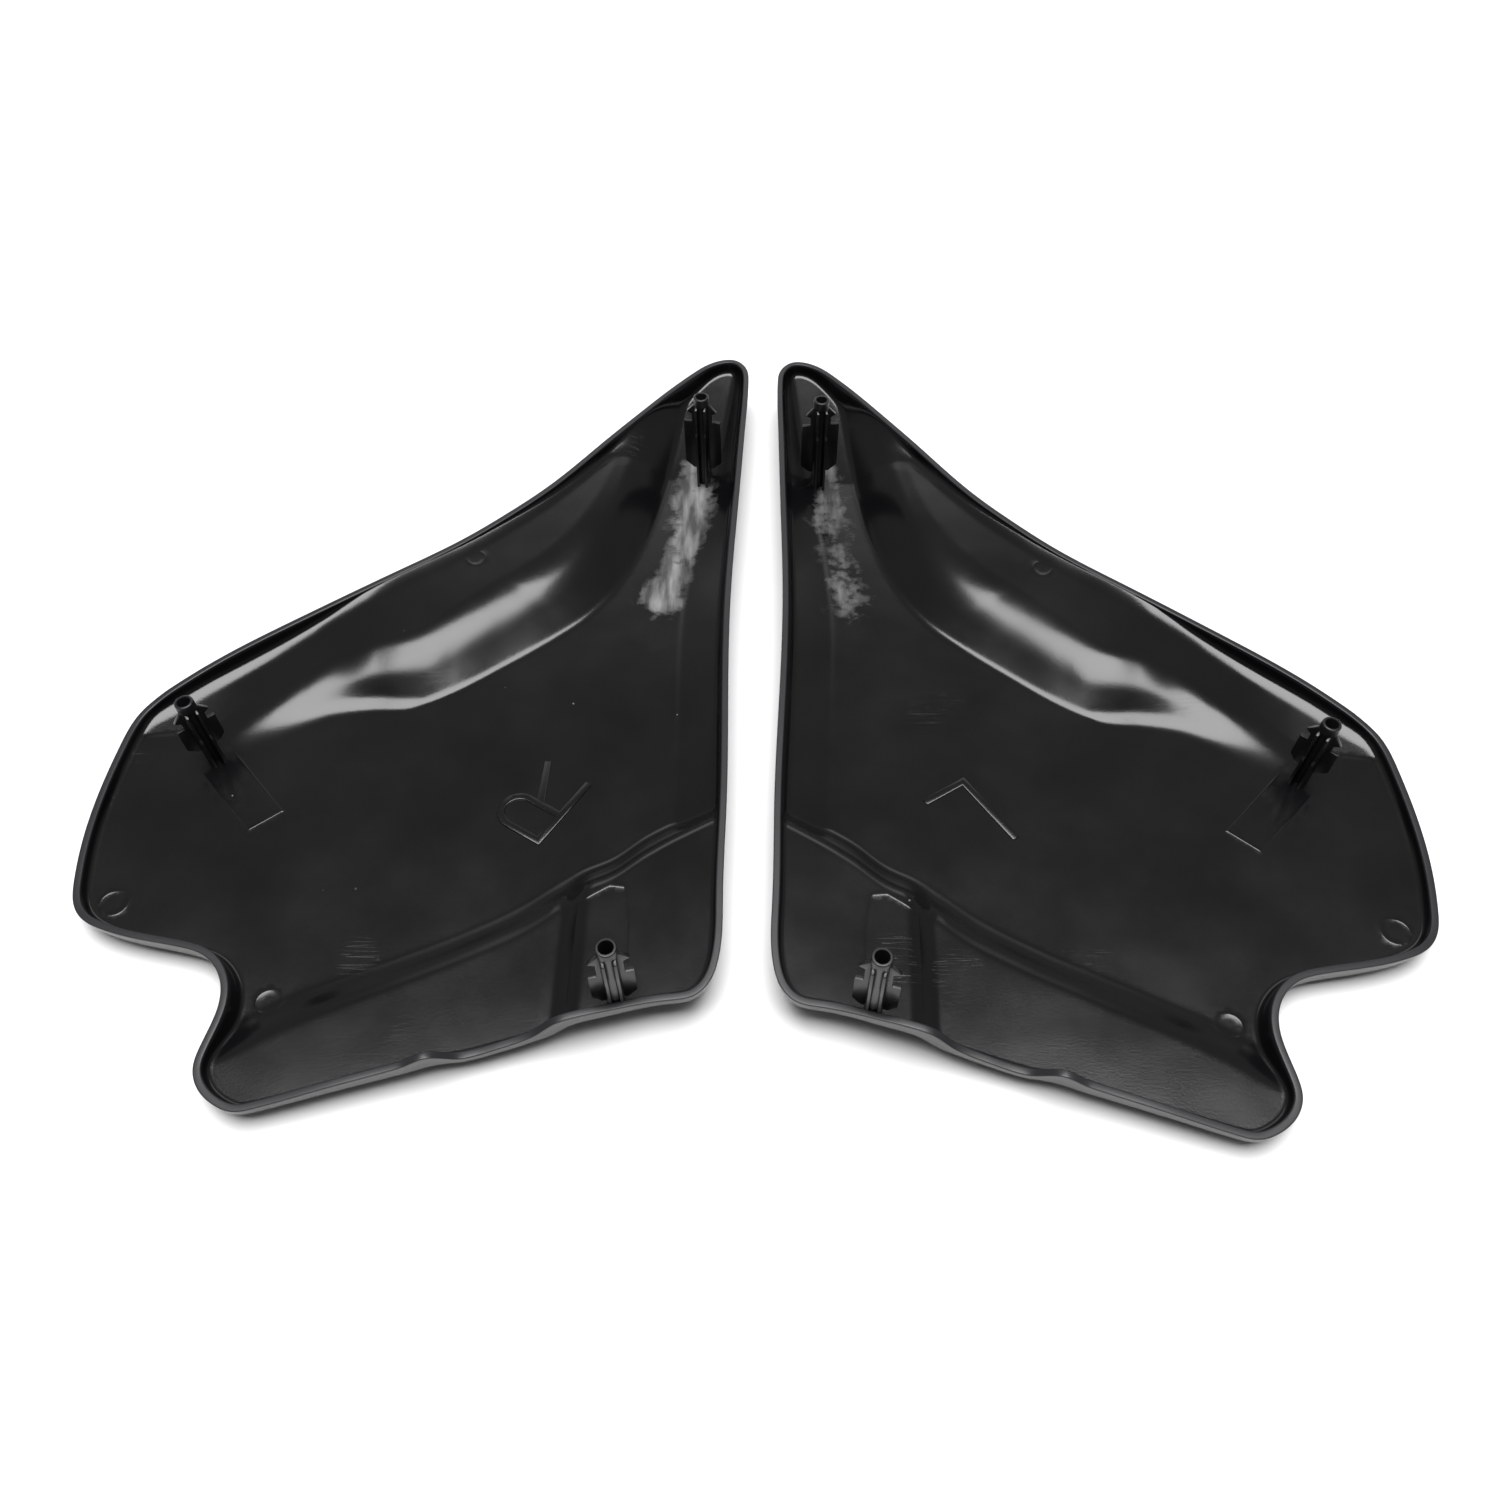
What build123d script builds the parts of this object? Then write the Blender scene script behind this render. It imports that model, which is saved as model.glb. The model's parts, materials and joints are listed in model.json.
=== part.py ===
import math
import os

from build123d import *

# A pair of moulded side covers, right and left, lying outer face down on Z = 0, posts pointing up.
# Each cover is a thin sculpted shell with a rim and three integral push-in posts for rubber grommets.
# X runs to the right across the pair, Y from the lower edges to the pointed tips, Z up.

# ---- shell
skin = 3.3  # thickness of the shell along Z; the flat resting face trims the central flat to 3.0
rim = 3.0  # thickness of the upright rim
draft = 8.0  # lean of the rim, wider at the top, in degrees
flat_level = 3.0  # inner face of the central flat above the resting face

# outline of the right cover, outer edge of the rim, clockwise from the tip
outline = [
    (-8, 216.5), (-1.5, 209), (0, 197.5), (-1.5, 162.5), (-5, 99.5), (-8.5, 31), (-9, -30), (-9, -85),
    (-10, -133), (-11.5, -160), (-15, -169.5), (-20, -174.5), (-31, -177), (-49, -181.3), (-64, -185.2),
    (-92, -193), (-120, -200.5), (-150, -208.5), (-178, -216), (-185, -217), (-192.5, -214.5),
    (-200, -208.5), (-204, -200), (-203.5, -192), (-202, -184.5), (-201, -176), (-202.5, -167),
    (-206.5, -160), (-213, -154.5), (-221.5, -151.5), (-240.5, -147.5), (-257.5, -142.5), (-266, -138),
    (-272, -131), (-276, -119), (-279.5, -97), (-280.5, -80), (-279.5, -49), (-275, -29), (-264, -17),
    (-254.5, -8), (-241, 3.5), (-217, 21), (-176.5, 49), (-142, 74), (-122.5, 92), (-104.5, 111),
    (-90.5, 129), (-76.5, 148.5), (-60, 170.5), (-44.5, 190.5), (-31.5, 205.5), (-20, 215),
]

# height of the rim above the resting face along the upper and the lower edge, as (x, height)
rim_upper = [(-282, 13), (-274, 14), (-265, 16), (-254, 17), (-174, 22), (-138, 23.5), (-97, 25),
             (-69, 26), (-38, 27), (-8, 28), (10, 28)]
rim_lower = [(-282, 12.5), (-204, 13.5), (-179, 14), (-152, 16), (-127, 17.5), (-117, 20), (-106, 13),
             (-92, 13.5), (-80, 16), (-71, 22), (-62, 23), (-49, 22), (-31, 20), (10, 20)]

# straight lines that roughly follow the upper and the lower edge, as (x, y at that x, slope)
upper_edge_line, lower_edge_line = (-174, 50, 0.75), (-178, -216, 0.26)

# ---- central flat, its slow rise to the left, and the raised band above it
rise_start, rise_rate = -110.0, 0.000195
upper_crease = [(-290, -61), (-246, -56), (-222, -40), (-205, -29.5), (-192.5, -23), (-175, -19.5),
                (-156, -18.5), (-139, -10), (-118, 5.5), (-96, 23), (-78.5, 39.5), (-62.5, 58), (-40, 92),
                (10, 160)]
side_crease = [(-240, -56), (40, -56), (74, -53), (108, -49), (144, -44), (163, -40.5), (240, -28)]
upper_wall = [(-290, 0), (-246, 0), (-225, 3), (-208, 6.5), (-192, 10.5), (-175, 14), (-153, 16),
              (-118, 17), (10, 17)]
upper_run = [(-290, 18), (-240, 20), (-208, 25), (-175, 31), (-150, 36), (-120, 39), (-95, 42), (10, 44)]
upper_slope = [(-290, 0.14), (-200, 0.10), (-150, 0.04), (10, 0.03)]
side_run = 28.0
corner_blend = 30.0
straight = 0.3  # share of the raised band's wall that is straight, before it curves over to its crest

# ---- lower shelf, in two levels with a step between them
lower_crease = [(-290, -226), (-230, -198), (-198, -183), (-181, -172.5), (-162, -163.5), (-137, -152.5),
                (-115, -142.5), (-93, -130.5), (-72, -115), (-56, -107), (-42.5, -96), (-26, -86), (10, -66)]
lower_wall = [(-290, 4), (-198, 4.5), (-137, 5.5), (-80, 6), (-74, 6.3), (-66, 11.2), (-60, 11.8), (10, 12)]
lower_run = 13.0

# ---- bevel along the straight edge, and the pointed tip
bevel_start = [(-240, -33), (-84, -33), (30, -34), (74, -30), (116, -23.5), (150, -18), (240, -4)]
bevel_slope = [(-240, 0.28), (60, 0.30), (116, 0.45), (160, 0.70), (240, 0.70)]
tip_start, tip_length, tip_rise, tip_power = 142.0, 68.0, 17.5, 1.25
crease_radius = 3.0
course = 14.0  # half the stretch over which a crease's general direction is taken

# ---- posts: x, y, foot level, tip level, direction of the wide fins in degrees,
# drop from the tip to the shoulders, reach of the fins, height of the fins, reach of the ribs at the foot
posts = {
    "top_post": (-24.3, 142.1, 3.6, 57.0, -9.0, 15.0, 9.6, 26.0, 6.4),
    "side_post": (-239.3, -50.4, 6.6, 44.0, 40.0, 14.0, 8.6, 12.0, 6.4),
    "lower_post": (-49.9, -174.6, 14.6, 57.0, 12.0, 19.0, 8.6, 15.0, 4.2),
}
tip_r, tube_r = 4.0, 3.6  # round tip, and the tube under it
bore_r, bore_depth = 2.7, 22.0
tip_chamfer = 0.6
plain_tip = 4.6  # plain round stretch above the barbs
barb_reach, barb_drop = 7.8, 9.0
neck_reach = 5.2
fin_thickness, fin_slant = 1.8, 4.0
rib_gap, rib_thickness = 4.4, 1.2
rib_reach = 5.2
rib_foot_drop = 21.0
root_sink = 1.2  # how far a post runs into the shell

# ---- raised side letters on the flats: origin, direction of the letter's baseline
mark_height, mark_sink, mark_stroke = 0.5, 1.0, 3.4
mark_stem, mark_bar, mark_middle = 36.0, 17.0, 20.5
letter_r = (-70.8, -63.8, 147.7)
letter_l = (94.9, -63.3, 212.5)

# ---- placing: the left cover is the mirror image of the right one, turned a little
centre_shift = (-1.12, 5.02)
left_turn, left_shift = -2.9, (6.0, -1.6)

grid_step = 6.0  # spacing of the points that the shell's curved faces pass through
block = 60.0  # height of the blocks that the curved faces bound
walls = 40.0  # height that the leaning walls are drawn to before the rim's top face trims them
below = 2.0  # how far under the resting face the cavity starts


def along(table, t):
    """Smooth curve through the points of a table."""
    i = 0
    while i < len(table) - 2 and t > table[i + 1][0]:
        i += 1

    def slope(k):
        a, b = table[max(k - 1, 0)], table[min(k + 1, len(table) - 1)]
        return (b[1] - a[1]) / (b[0] - a[0])

    (x0, y0), (x1, y1) = table[i], table[i + 1]
    h = x1 - x0
    s = min(max((t - x0) / h, 0.0), 1.0)
    return (
        y0 * (1 + 2 * s) * (1 - s) ** 2 + y1 * s * s * (3 - 2 * s)
        + slope(i) * h * s * (1 - s) ** 2 - slope(i + 1) * h * s * s * (1 - s)
    )


def filleted(d, r):
    """Distance past a line, eased over a radius either side of it."""
    if d <= -r:
        return 0.0
    return d if d >= r else (d + r) ** 2 / (4 * r)


def past(table, x, y):
    """Distance of a point above a line given as y over x, square to the line's general course."""
    slope = (along(table, x + course) - along(table, x - course)) / (2 * course)
    return (y - along(table, x)) / math.hypot(1, slope)


def eased(t, straight=0.0):
    """Rises from 0 to 1: straight for a share of the way, then curving over to a level crest."""
    t = min(t, 1.0)
    return (2 * t - max(t - straight, 0.0) ** 2 / (1 - straight)) / (1 + straight)


def floor_height(x, y):
    """Inner face of the shell."""
    base = flat_level + rise_rate * max(0.0, rise_start - x) ** 2
    d_upper, d_side = past(upper_crease, x, y), along(side_crease, y) - x
    h = min(max(0.5 + 0.5 * (d_side - d_upper) / corner_blend, 0.0), 1.0)
    run = side_run + (along(upper_run, x) - side_run) * h
    d = filleted(d_side + (d_upper - d_side) * h - corner_blend * h * (1 - h), crease_radius)
    upper = along(upper_wall, x) * eased(d / run, straight) + along(upper_slope, x) * max(0.0, d - run)
    d = filleted(-past(lower_crease, x, y), crease_radius)
    lower = along(lower_wall, x) * eased(d / lower_run)
    bevel = along(bevel_slope, y) * filleted(x - along(bevel_start, y), 2.0)
    tip = tip_rise * (max(0.0, y - tip_start) / tip_length) ** tip_power
    return base + (upper ** 4 + lower ** 4 + bevel ** 4) ** 0.25 + tip


def rim_height(x, y):
    """Top face of the rim."""
    top, low = (y0 + slope * (x - x0) for x0, y0, slope in (upper_edge_line, lower_edge_line))
    w = min(max((y - low) / (top - low), 0.0), 1.0)
    return along(rim_lower, x) + (along(rim_upper, x) - along(rim_lower, x)) * w


def surface(height):
    """Curved face through a grid of heights, wider than the cover on every side."""
    xs = [-290 + grid_step * i for i in range(int(300 / grid_step) + 1)]
    ys = [-230 + grid_step * i for i in range(int(460 / grid_step) + 1)]
    return Face.make_surface_from_array_of_points(
        [[Vector(x, y, height(x, y)) for y in ys] for x in xs], tol=0.3, min_deg=3, max_deg=3
    )


# Blocks bounded by the curved faces: everything over the inner face, under the outer face, over the rim.
above_floor = Solid.extrude(surface(floor_height), Vector(0, 0, block))
below_skin = Solid.extrude(surface(lambda x, y: floor_height(x, y) - skin), Vector(0, 0, -block))
above_rim = Solid.extrude(surface(rim_height), Vector(0, 0, block))


def ring(inset, level):
    """Outline points moved inward from the outer face of the leaning rim at a level."""
    points = []
    for i, (x, y) in enumerate(outline):
        (xa, ya), (xb, yb) = outline[i - 1], outline[(i + 1) % len(outline)]
        length = math.hypot(xb - xa, yb - ya)
        d = inset + (rim_height(x, y) - level) * math.tan(math.radians(draft))
        points.append((x + d * (yb - ya) / length, y - d * (xb - xa) / length))
    return points


with BuildPart() as cavity:
    with BuildSketch(Plane.XY.offset(-below)):
        with BuildLine():
            Spline(*ring(rim, -below), periodic=True)
        make_face()
    extrude(amount=walls + 3 * below, taper=-draft)
    add(above_floor, mode=Mode.INTERSECT)

with BuildPart() as right_shell:
    with BuildSketch():
        with BuildLine():
            Spline(*ring(0, 0), periodic=True)
        make_face()
    extrude(amount=walls, taper=-draft)
    add(below_skin, mode=Mode.SUBTRACT)
    add(cavity.part, mode=Mode.SUBTRACT)
    add(above_rim, mode=Mode.SUBTRACT)


def make_post(x, y, foot, tip, turn, shoulder_drop, fin_reach, fin_height, rib_foot_reach):
    """Tube with a bored tip, two snap barbs, two stepped wide fins and two pairs of ribs."""
    length = tip - foot
    base = Plane((x, y, foot), x_dir=(math.cos(math.radians(turn)), math.sin(math.radians(turn)), 0))
    fins = Plane(base.origin, x_dir=base.x_dir, z_dir=-base.y_dir)
    ribs = Plane(base.origin, x_dir=base.y_dir, z_dir=base.x_dir)
    barb, shoulder = length - barb_drop, length - shoulder_drop
    with BuildPart() as post:
        with BuildSketch(base.offset(-root_sink)):
            Circle(tube_r)
        extrude(amount=length + root_sink)
        with BuildSketch(base.offset(length - plain_tip)):
            Circle(tip_r)
        extrude(amount=plain_tip)
        chamfer(post.edges().filter_by(GeomType.CIRCLE).sort_by(Axis.Z)[-1], tip_chamfer)
        with BuildSketch(fins):
            with BuildLine():
                side = Polyline(
                    (0, shoulder - fin_height - fin_slant), (neck_reach, shoulder - fin_height - fin_slant),
                    (fin_reach, shoulder - fin_height), (fin_reach, shoulder), (neck_reach, shoulder),
                    (neck_reach, barb - 1.5), (barb_reach, barb), (tube_r - 0.2, length - plain_tip),
                    (0, length - plain_tip),
                )
                mirror(side, about=Plane.YZ)
            make_face()
        extrude(amount=fin_thickness / 2, both=True)
        for step in (-rib_gap / 2, rib_gap / 2):
            with BuildSketch(ribs.offset(step)):
                with BuildLine():
                    front = Polyline(
                        (0, -root_sink), (rib_foot_reach, -root_sink), (rib_foot_reach, length - rib_foot_drop),
                        (rib_reach, length - rib_foot_drop + 1.5), (rib_reach, length - plain_tip - 0.8),
                        (tube_r - 1.0, length - plain_tip), (0, length - plain_tip),
                    )
                    mirror(front, about=Plane.YZ)
                make_face()
            extrude(amount=rib_thickness / 2, both=True)
        with BuildSketch(base.offset(length)):
            Circle(bore_r)
        extrude(amount=-bore_depth, mode=Mode.SUBTRACT)
    return post.part


def letter_plane(x, y, turn):
    angle = math.radians(turn)
    return Plane((x, y, flat_level - mark_sink), x_dir=(math.cos(angle), math.sin(angle), 0))


bowl = (mark_stem - mark_middle) / 2
with BuildPart() as right_mark:
    with BuildSketch(letter_plane(*letter_r)):
        with BuildLine():
            Polyline((0, 0), (0, mark_stem), (mark_bar, mark_stem))
        trace(line_width=mark_stroke)
        with BuildLine():
            ThreePointArc((mark_bar, mark_stem), (mark_bar + bowl, mark_stem - bowl), (mark_bar, mark_middle))
        trace(line_width=mark_stroke)
        with BuildLine():
            Line((mark_bar, mark_middle), (0, mark_middle))
        trace(line_width=mark_stroke)
        with BuildLine():
            Line((mark_bar * 0.65, mark_middle), (mark_bar * 1.35, 0))
        trace(line_width=mark_stroke)
    extrude(amount=mark_sink + mark_height)

with BuildPart() as left_mark:
    with BuildSketch(letter_plane(*letter_l)):
        with BuildLine():
            Polyline((0, mark_stem), (0, 0), (mark_bar * 1.25, 0))
        trace(line_width=mark_stroke)
    extrude(amount=mark_sink + mark_height)

right_pieces = {"shell": right_shell.part}
for name, sizes in posts.items():
    right_pieces[name] = make_post(*sizes)

right_place = Location((*centre_shift, 0))
left_place = Location((*(a + b for a, b in zip(centre_shift, left_shift)), 0), (0, 0, left_turn))
pieces = {"right_mark": right_place * right_mark.part, "left_mark": right_place * left_mark.part}
for name, piece in right_pieces.items():
    pieces["right_" + name] = right_place * piece
    pieces["left_" + name] = left_place * mirror(piece, about=Plane.YZ)

os.makedirs("parts", exist_ok=True)
for name, piece in pieces.items():
    piece.label = name
    export_step(piece, f"parts/{name}.step")
boxes = [piece.bounding_box() for piece in pieces.values()]
print(min(b.min.X for b in boxes), max(b.max.X for b in boxes), min(b.min.Y for b in boxes),
      max(b.max.Y for b in boxes), min(b.min.Z for b in boxes), max(b.max.Z for b in boxes))
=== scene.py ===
"""Looks of the pair of moulded side covers: smooth shells, push-in posts, side letters and a studio.

Sizes are in millimetres in a cover's own drawing, whose origin is near the middle of its straight edge.
The right cover is drawn, and the left one is its mirror image. The frame says where each of them lies.
"""

import json
import math

import bmesh
import bpy
import numpy as np
from mathutils import Matrix, Vector
from mathutils.geometry import delaunay_2d_cdt
from mathutils.kdtree import KDTree


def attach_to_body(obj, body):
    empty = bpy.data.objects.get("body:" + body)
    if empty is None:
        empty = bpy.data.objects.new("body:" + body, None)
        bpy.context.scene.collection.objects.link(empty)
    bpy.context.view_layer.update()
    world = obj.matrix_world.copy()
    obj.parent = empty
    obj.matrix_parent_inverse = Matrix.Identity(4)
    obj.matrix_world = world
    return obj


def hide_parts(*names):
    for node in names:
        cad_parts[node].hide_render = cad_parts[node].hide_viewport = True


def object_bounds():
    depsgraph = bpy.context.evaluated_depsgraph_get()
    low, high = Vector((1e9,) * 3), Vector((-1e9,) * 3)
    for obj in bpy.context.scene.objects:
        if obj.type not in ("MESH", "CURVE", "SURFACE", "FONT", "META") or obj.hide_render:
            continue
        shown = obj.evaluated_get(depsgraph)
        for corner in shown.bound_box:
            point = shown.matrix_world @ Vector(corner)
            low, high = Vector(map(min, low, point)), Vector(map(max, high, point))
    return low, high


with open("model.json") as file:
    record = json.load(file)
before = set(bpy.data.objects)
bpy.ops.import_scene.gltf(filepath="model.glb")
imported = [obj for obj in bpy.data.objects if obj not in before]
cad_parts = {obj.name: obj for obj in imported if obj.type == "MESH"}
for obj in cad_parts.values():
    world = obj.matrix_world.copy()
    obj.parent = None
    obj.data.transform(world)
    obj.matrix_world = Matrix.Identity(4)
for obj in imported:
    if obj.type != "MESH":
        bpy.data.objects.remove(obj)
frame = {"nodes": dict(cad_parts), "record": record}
cad_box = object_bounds()

# ---- shell, the same drawing as the CAD model's
skin, rim, draft, flat_level = 3.3, 3.0, 8.0, 3.0
outline = [
    (-8, 216.5), (-1.5, 209), (0, 197.5), (-1.5, 162.5), (-5, 99.5), (-8.5, 31), (-9, -30), (-9, -85),
    (-10, -133), (-11.5, -160), (-15, -169.5), (-20, -174.5), (-31, -177), (-49, -181.3), (-64, -185.2),
    (-92, -193), (-120, -200.5), (-150, -208.5), (-178, -216), (-185, -217), (-192.5, -214.5),
    (-200, -208.5), (-204, -200), (-203.5, -192), (-202, -184.5), (-201, -176), (-202.5, -167),
    (-206.5, -160), (-213, -154.5), (-221.5, -151.5), (-240.5, -147.5), (-257.5, -142.5), (-266, -138),
    (-272, -131), (-276, -119), (-279.5, -97), (-280.5, -80), (-279.5, -49), (-275, -29), (-264, -17),
    (-254.5, -8), (-241, 3.5), (-217, 21), (-176.5, 49), (-142, 74), (-122.5, 92), (-104.5, 111),
    (-90.5, 129), (-76.5, 148.5), (-60, 170.5), (-44.5, 190.5), (-31.5, 205.5), (-20, 215),
]
rim_upper = [(-282, 13), (-274, 14), (-265, 16), (-254, 17), (-174, 22), (-138, 23.5), (-97, 25),
             (-69, 26), (-38, 27), (-8, 28), (10, 28)]
rim_lower = [(-282, 12.5), (-204, 13.5), (-179, 14), (-152, 16), (-127, 17.5), (-117, 20), (-106, 13),
             (-92, 13.5), (-80, 16), (-71, 22), (-62, 23), (-49, 22), (-31, 20), (10, 20)]
upper_edge_line, lower_edge_line = (-174, 50, 0.75), (-178, -216, 0.26)
rise_start, rise_rate, course = -110.0, 0.000195, 14.0
upper_crease = [(-290, -61), (-246, -56), (-222, -40), (-205, -29.5), (-192.5, -23), (-175, -19.5),
                (-156, -18.5), (-139, -10), (-118, 5.5), (-96, 23), (-78.5, 39.5), (-62.5, 58), (-40, 92),
                (10, 160)]
side_crease = [(-240, -56), (40, -56), (74, -53), (108, -49), (144, -44), (163, -40.5), (240, -28)]
upper_wall = [(-290, 0), (-246, 0), (-225, 3), (-208, 6.5), (-192, 10.5), (-175, 14), (-153, 16),
              (-118, 17), (10, 17)]
upper_run = [(-290, 18), (-240, 20), (-208, 25), (-175, 31), (-150, 36), (-120, 39), (-95, 42), (10, 44)]
upper_slope = [(-290, 0.14), (-200, 0.10), (-150, 0.04), (10, 0.03)]
side_run, corner_blend, straight = 28.0, 30.0, 0.3
lower_crease = [(-290, -226), (-230, -198), (-198, -183), (-181, -172.5), (-162, -163.5), (-137, -152.5),
                (-115, -142.5), (-93, -130.5), (-72, -115), (-56, -107), (-42.5, -96), (-26, -86),
                (10, -66)]
lower_wall = [(-290, 4), (-198, 4.5), (-137, 5.5), (-80, 6), (-74, 6.3), (-66, 11.2), (-60, 11.8),
              (10, 12)]
lower_run = 13.0
bevel_start = [(-240, -33), (-84, -33), (30, -34), (74, -30), (116, -23.5), (150, -18), (240, -4)]
bevel_slope = [(-240, 0.28), (60, 0.30), (116, 0.45), (160, 0.70), (240, 0.70)]
tip_start, tip_length, tip_rise, tip_power = 142.0, 68.0, 17.5, 1.25

# crease radius, as (x, radius): crisp along the right of the upper crease, softer to the left of its jog
crease_radii = [(-290, 6), (-175, 5), (-158, 4), (-151, 2.2), (10, 2.6)]
lower_radius = 5.0

# ---- the shell's edges
foot_radius, foot_width = 2.0, 3.2  # fillet inside the rim, and the width of the rings that make it
foot_share, least_foot = 0.8, 0.2  # its largest share of the rim's height, and its least height
lip_rise, lip_reach = 2.2, 6.5  # height and width of the swell at the foot of the upper rim
lip_share = 0.75  # its largest share of the rim's height
lip_bias = 1.5  # how soon it fades where the edge turns away from the upper side
lip_end, lip_fade = 204.0, 20.0  # it fades out below the tip
rim_corner = 0.6  # rounding of the rim's top
outer_radius, outer_share = 6.0, 0.6  # rounding under the wall, and its largest share of the wall
kink = 0.25  # easing where the flat resting face meets the sculpted outer face

# rings of the rim's section: steps of its roundings, places of the rings on the straight stretches
outer_steps, corner_steps, foot_steps = 7, 4, 7
wall_levels, inner_levels, swell_levels = (0.25, 0.5, 0.75), (0.33, 0.67), (0.2, 0.4, 0.6, 0.8, 1.0)
lean_passes = 12  # passes that find where the leaning rim meets a curved face

# ---- what the mould left on the inner face
ejector_marks = [(-259.4, -127.0, 5.6), (-186.6, -169.5, 5.0), (-135.1, 62.2, 4.4)]  # x, y, radius
witness_lines = [
    [(-236, -42.8), (-202.8, -79.4), (-215.1, -89.7), (-242.5, -59.4)],
    [(-69.0, -174.0), (-68.6, -131.4), (-56.2, -123.6), (-49.5, -124.5), (-47.1, -142.4),
     (-46.6, -160.0)],
    [(-95.0, 112.0), (-73.3, 138.6), (-53.0, 163.0), (-40.5, 179.8)],
]
witness_height, witness_width = 0.12, 0.24
hairline_rows = (-0.5, -0.2, 0.0, 0.2, 0.5)  # rows of the mesh's points beside a hairline
hairline_spacing, circle_points = 0.9, 48

# ---- patch of smeared plastic below the top post: its middle line, and its half width along it
smear_line = [(-30.0, 154.0), (-29.5, 125.0), (-32.5, 95.0), (-38.0, 68.0), (-43.0, 50.0)]
smear_width = [(0.0, 7.0), (0.3, 12.5), (0.75, 9.0), (1.0, 13.0)]
smear_core = 0.35  # share of the half width that is smeared all over
smear_strength = {"right": 1.0, "left": 0.55}

# ---- posts: x, y, foot level, tip level, direction of the wide fins in degrees, drop from the tip
# to the shoulders, reach of the fins, height of the fins, reach of the ribs at the foot
posts = {
    "top_post": (-24.3, 142.1, 3.6, 57.0, -9.0, 15.0, 9.6, 26.0, 6.4),
    "side_post": (-239.3, -50.4, 6.6, 44.0, 40.0, 14.0, 8.6, 12.0, 6.4),
    "lower_post": (-49.9, -174.6, 14.6, 57.0, 12.0, 19.0, 8.6, 15.0, 4.2),
}
tip_r, tube_r = 4.0, 3.6
bore_r, bore_depth = 2.7, 22.0
tip_chamfer, plain_tip = 0.6, 4.6
barb_reach, barb_drop, neck_reach = 7.8, 9.0, 5.2
fin_thickness, fin_slant = 1.8, 4.0
rib_gap, rib_thickness, rib_reach = 4.4, 1.2, 5.2
rib_foot_drop = 21.0
root_sink = 1.2
edge_round, letter_round = 0.22, 0.4  # rounding of the posts' and the letters' edges

step_slant = 1.5  # height of the slants below the barbs and over the ribs' feet
lathe_sides = 56

# ---- the mesh: spacing of its points over creases, under the shell and along the rim
MM = 0.001
fine, coarse_under, ring_spacing = 1.15, 3.4, 1.25
hairline_gap, over_gap, under_gap = 0.7, 0.75 * fine, 1.4  # least distances between the kinds of points
bend_probe, bend_limit = 1.5, 0.028  # a face that bends more than this over that distance is meshed finely
speck_size = 1e-3  # shorter edges of joined solids are closed up


# ---------------------------------------------------------------- the drawing's curves and surfaces

def along(table, t):
    """Smooth curve through the points of a table."""
    xs, ys = np.array(table, float).T
    k = np.arange(len(xs))
    before, after = np.maximum(k - 1, 0), np.minimum(k + 1, len(xs) - 1)
    slopes = (ys[after] - ys[before]) / (xs[after] - xs[before])
    i = np.clip(np.searchsorted(xs, t) - 1, 0, len(xs) - 2)
    h = xs[i + 1] - xs[i]
    s = np.clip((t - xs[i]) / h, 0, 1)
    return (
        ys[i] * (1 + 2 * s) * (1 - s) ** 2 + ys[i + 1] * s * s * (3 - 2 * s)
        + slopes[i] * h * s * (1 - s) ** 2 - slopes[i + 1] * h * s * s * (1 - s)
    )


def filleted(d, r):
    """Distance past a line, eased over a radius either side of it."""
    return np.where(d <= -r, 0.0, np.where(d >= r, d, (d + r) ** 2 / (4 * r)))


def past(table, x, y):
    """Distance of a point above a line given as y over x, square to the line's general course."""
    slope = (along(table, x + course) - along(table, x - course)) / (2 * course)
    return (y - along(table, x)) / np.hypot(1, slope)


def eased(t, straight=0.0):
    """Rises from 0 to 1: straight for a share of the way, then curving over to a level crest."""
    t = np.minimum(t, 1.0)
    return (2 * t - np.maximum(t - straight, 0.0) ** 2 / (1 - straight)) / (1 + straight)


def floor_height(x, y):
    """Inner face of the shell."""
    base = flat_level + rise_rate * np.maximum(0.0, rise_start - x) ** 2
    d_upper, d_side = past(upper_crease, x, y), along(side_crease, y) - x
    h = np.clip(0.5 + 0.5 * (d_side - d_upper) / corner_blend, 0, 1)
    run = side_run + (along(upper_run, x) - side_run) * h
    radius = along(crease_radii, x)
    d = filleted(d_side + (d_upper - d_side) * h - corner_blend * h * (1 - h), radius)
    shelf = along(upper_slope, x) * np.maximum(0.0, d - run)
    upper = along(upper_wall, x) * eased(d / run, straight) + shelf
    d = filleted(-past(lower_crease, x, y), lower_radius)
    lower = along(lower_wall, x) * eased(d / lower_run)
    bevel = along(bevel_slope, y) * filleted(x - along(bevel_start, y), 2.0)
    tip = tip_rise * (np.maximum(0.0, y - tip_start) / tip_length) ** tip_power
    return base + (upper ** 4 + lower ** 4 + bevel ** 4) ** 0.25 + tip


def outer_face(x, y):
    """Outer face of the shell, flat where the cover rests on it."""
    return filleted(floor_height(x, y) - skin, kink)


def rim_height(x, y):
    """Top face of the rim."""
    top, low = (y0 + slope * (x - x0) for x0, y0, slope in (upper_edge_line, lower_edge_line))
    w = np.clip((y - low) / (top - low), 0, 1)
    return along(rim_lower, x) + (along(rim_upper, x) - along(rim_lower, x)) * w


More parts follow.
